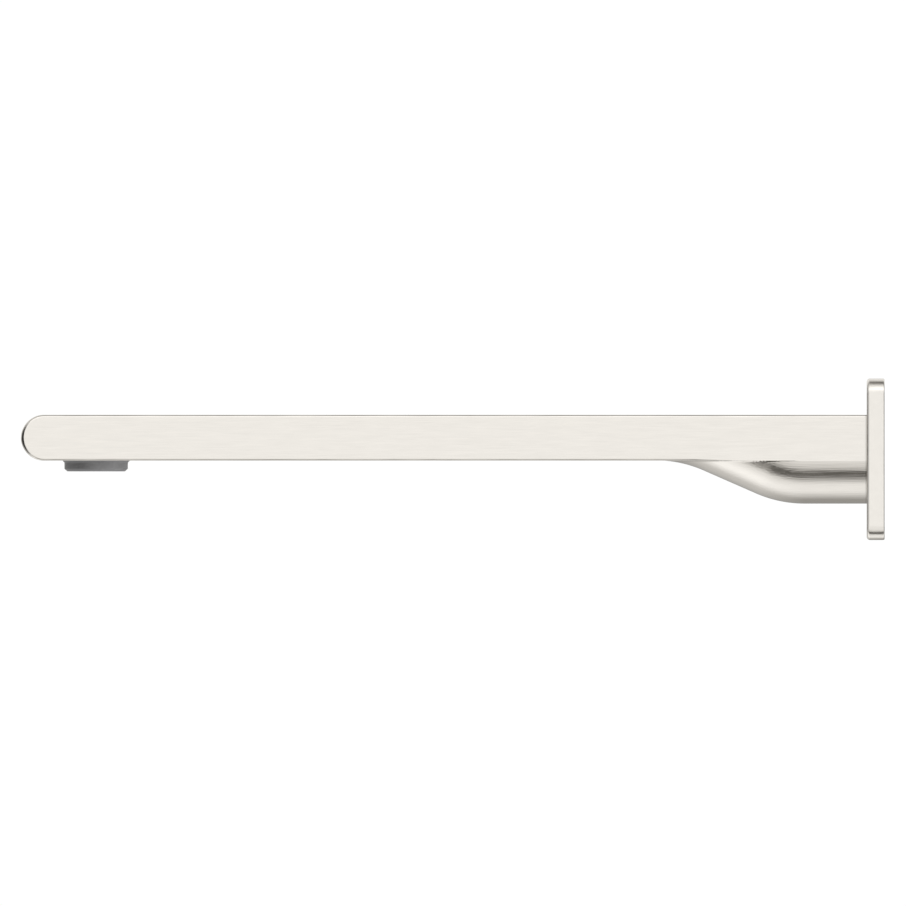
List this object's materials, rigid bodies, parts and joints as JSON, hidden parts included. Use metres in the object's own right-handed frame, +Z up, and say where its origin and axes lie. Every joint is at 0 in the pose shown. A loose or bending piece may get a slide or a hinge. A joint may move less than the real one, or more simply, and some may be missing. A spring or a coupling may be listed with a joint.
{
  "type": "wall mounted bath spout",
  "caption": "Long flat-bar bath spout with a rounded nose, an S-bent belly under its wall end, a square sliding wall flange and a screw-in aerator.",
  "frame": {"origin": "centre of the inlet bore in the wall plane, which is the back of the flange and of the body", "axes": "+Y along the inlet bore into the wall, so the spout runs along -Y into the room; +Z up; +X to the right seen from the room's side looking at the wall"},
  "size_m": [0.045, 0.241, 0.045],
  "materials": {
    "brushed_nickel": "brushed, satin warm nickel",
    "flange_nickel": "brushed, satin warm nickel",
    "aerator_grey": "smooth satin moulded",
    "raw_brass": "turned, unplated",
    "seal_rubber": "moulded, matt",
    "gasket_foam": "closed-cell foam",
    "nylon_white": "moulded",
    "plastic_grey": "moulded",
    "plastic_blue": "moulded",
    "stainless": "bright stainless steel"
  },
  "bodies": {
    "spout": {"spout_body": "brushed_nickel", "outlet_seat": "raw_brass", "inlet_socket": "raw_brass", "inlet_o_ring_front": "seal_rubber", "inlet_o_ring_rear": "seal_rubber"},
    "flange": {"wall_flange": "flange_nickel", "flange_seal": "seal_rubber", "wall_gasket": "gasket_foam"},
    "aerator_carriage": {"aerator_washer": "seal_rubber"},
    "aerator": {"aerator_housing": "aerator_grey", "cartridge_sleeve": "plastic_grey", "strainer": "plastic_blue", "flow_ring": "seal_rubber", "jet_plate": "nylon_white", "mixing_cone": "nylon_white", "upper_screen": "stainless", "lower_screen": "stainless", "outlet_grid": "plastic_grey"},
    "screw_carriage": {"screw_tip": "nylon_white"},
    "screw": {"grub_screw": "stainless"}
  },
  "joints": [
    {"name": "flange_slide", "type": "slide", "parent": "spout", "child": "flange", "axis": [0, -1, 0], "range_m": [0, 0.016]},
    {"name": "aerator_travel", "type": "slide", "parent": "spout", "child": "aerator_carriage", "axis": [0, 0, -1], "range_m": [0, 0.00401]},
    {"name": "aerator_turn", "type": "hinge", "parent": "aerator_carriage", "child": "aerator", "pos_m": [0, -0.22, 0], "axis": [0, 0, -1], "range_deg": [0, 1440]},
    {"name": "screw_travel", "type": "slide", "parent": "spout", "child": "screw_carriage", "axis": [0, 0, 1], "range_m": [0, 0.000525]},
    {"name": "screw_turn", "type": "hinge", "parent": "screw_carriage", "child": "screw", "pos_m": [0, -0.0029, 0], "axis": [0, 0, 1], "range_deg": [0, 270.5]}
  ],
  "couplings": [
    {"joint": "aerator_travel", "follows": "aerator_turn", "m_per_rad": 0.00015915},
    {"joint": "screw_turn", "follows": "screw_travel", "rad_per_m": 8976}
  ]
}
